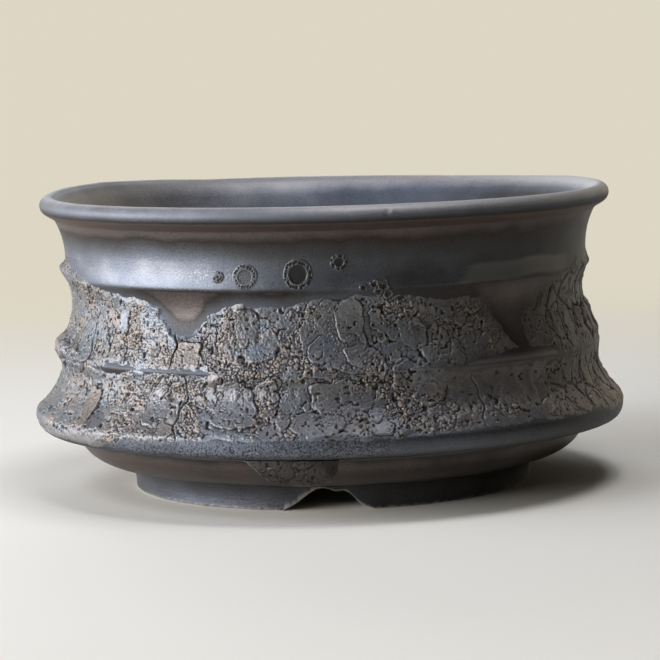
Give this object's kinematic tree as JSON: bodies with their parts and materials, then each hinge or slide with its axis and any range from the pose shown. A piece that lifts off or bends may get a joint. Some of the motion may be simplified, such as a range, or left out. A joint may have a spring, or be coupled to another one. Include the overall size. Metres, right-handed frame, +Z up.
{
  "type": "ceramic planter",
  "caption": "Round dark stoneware bonsai pot with a rolled lip, two crusted belts between ridges, a wide skirt and a notched foot ring.",
  "frame": {"origin": "on the table, under the middle of the pot", "axes": "+Z up along the pot's axis, -Y toward the front notch of the foot ring, +X to the right as seen from the front"},
  "size_m": [0.2071, 0.2068, 0.1028],
  "materials": {
    "satin_stoneware": "satin manganese-bronze stoneware, fired dark",
    "dried_slip": "crusted slip, matt tan grains with dark satin tops"
  },
  "bodies": {
    "root": {"foot_ring": "satin_stoneware", "base_bowl": "satin_stoneware", "floor_slab": "satin_stoneware", "body_wall": "satin_stoneware", "rim_roll": "satin_stoneware", "crust_upper_1": "dried_slip", "crust_upper_2": "dried_slip", "crust_upper_3": "dried_slip", "crust_upper_4": "dried_slip", "crust_upper_5": "dried_slip", "crust_lower_1": "dried_slip", "crust_lower_2": "dried_slip", "crust_lower_3": "dried_slip", "crust_lower_4": "dried_slip", "crust_lower_5": "dried_slip", "crust_lower_6": "dried_slip", "crust_bowl": "dried_slip", "blister_ring_1": "dried_slip", "blister_ring_2": "dried_slip", "blister_ring_3": "dried_slip", "blister_ring_4": "dried_slip"}
  },
  "joints": []
}
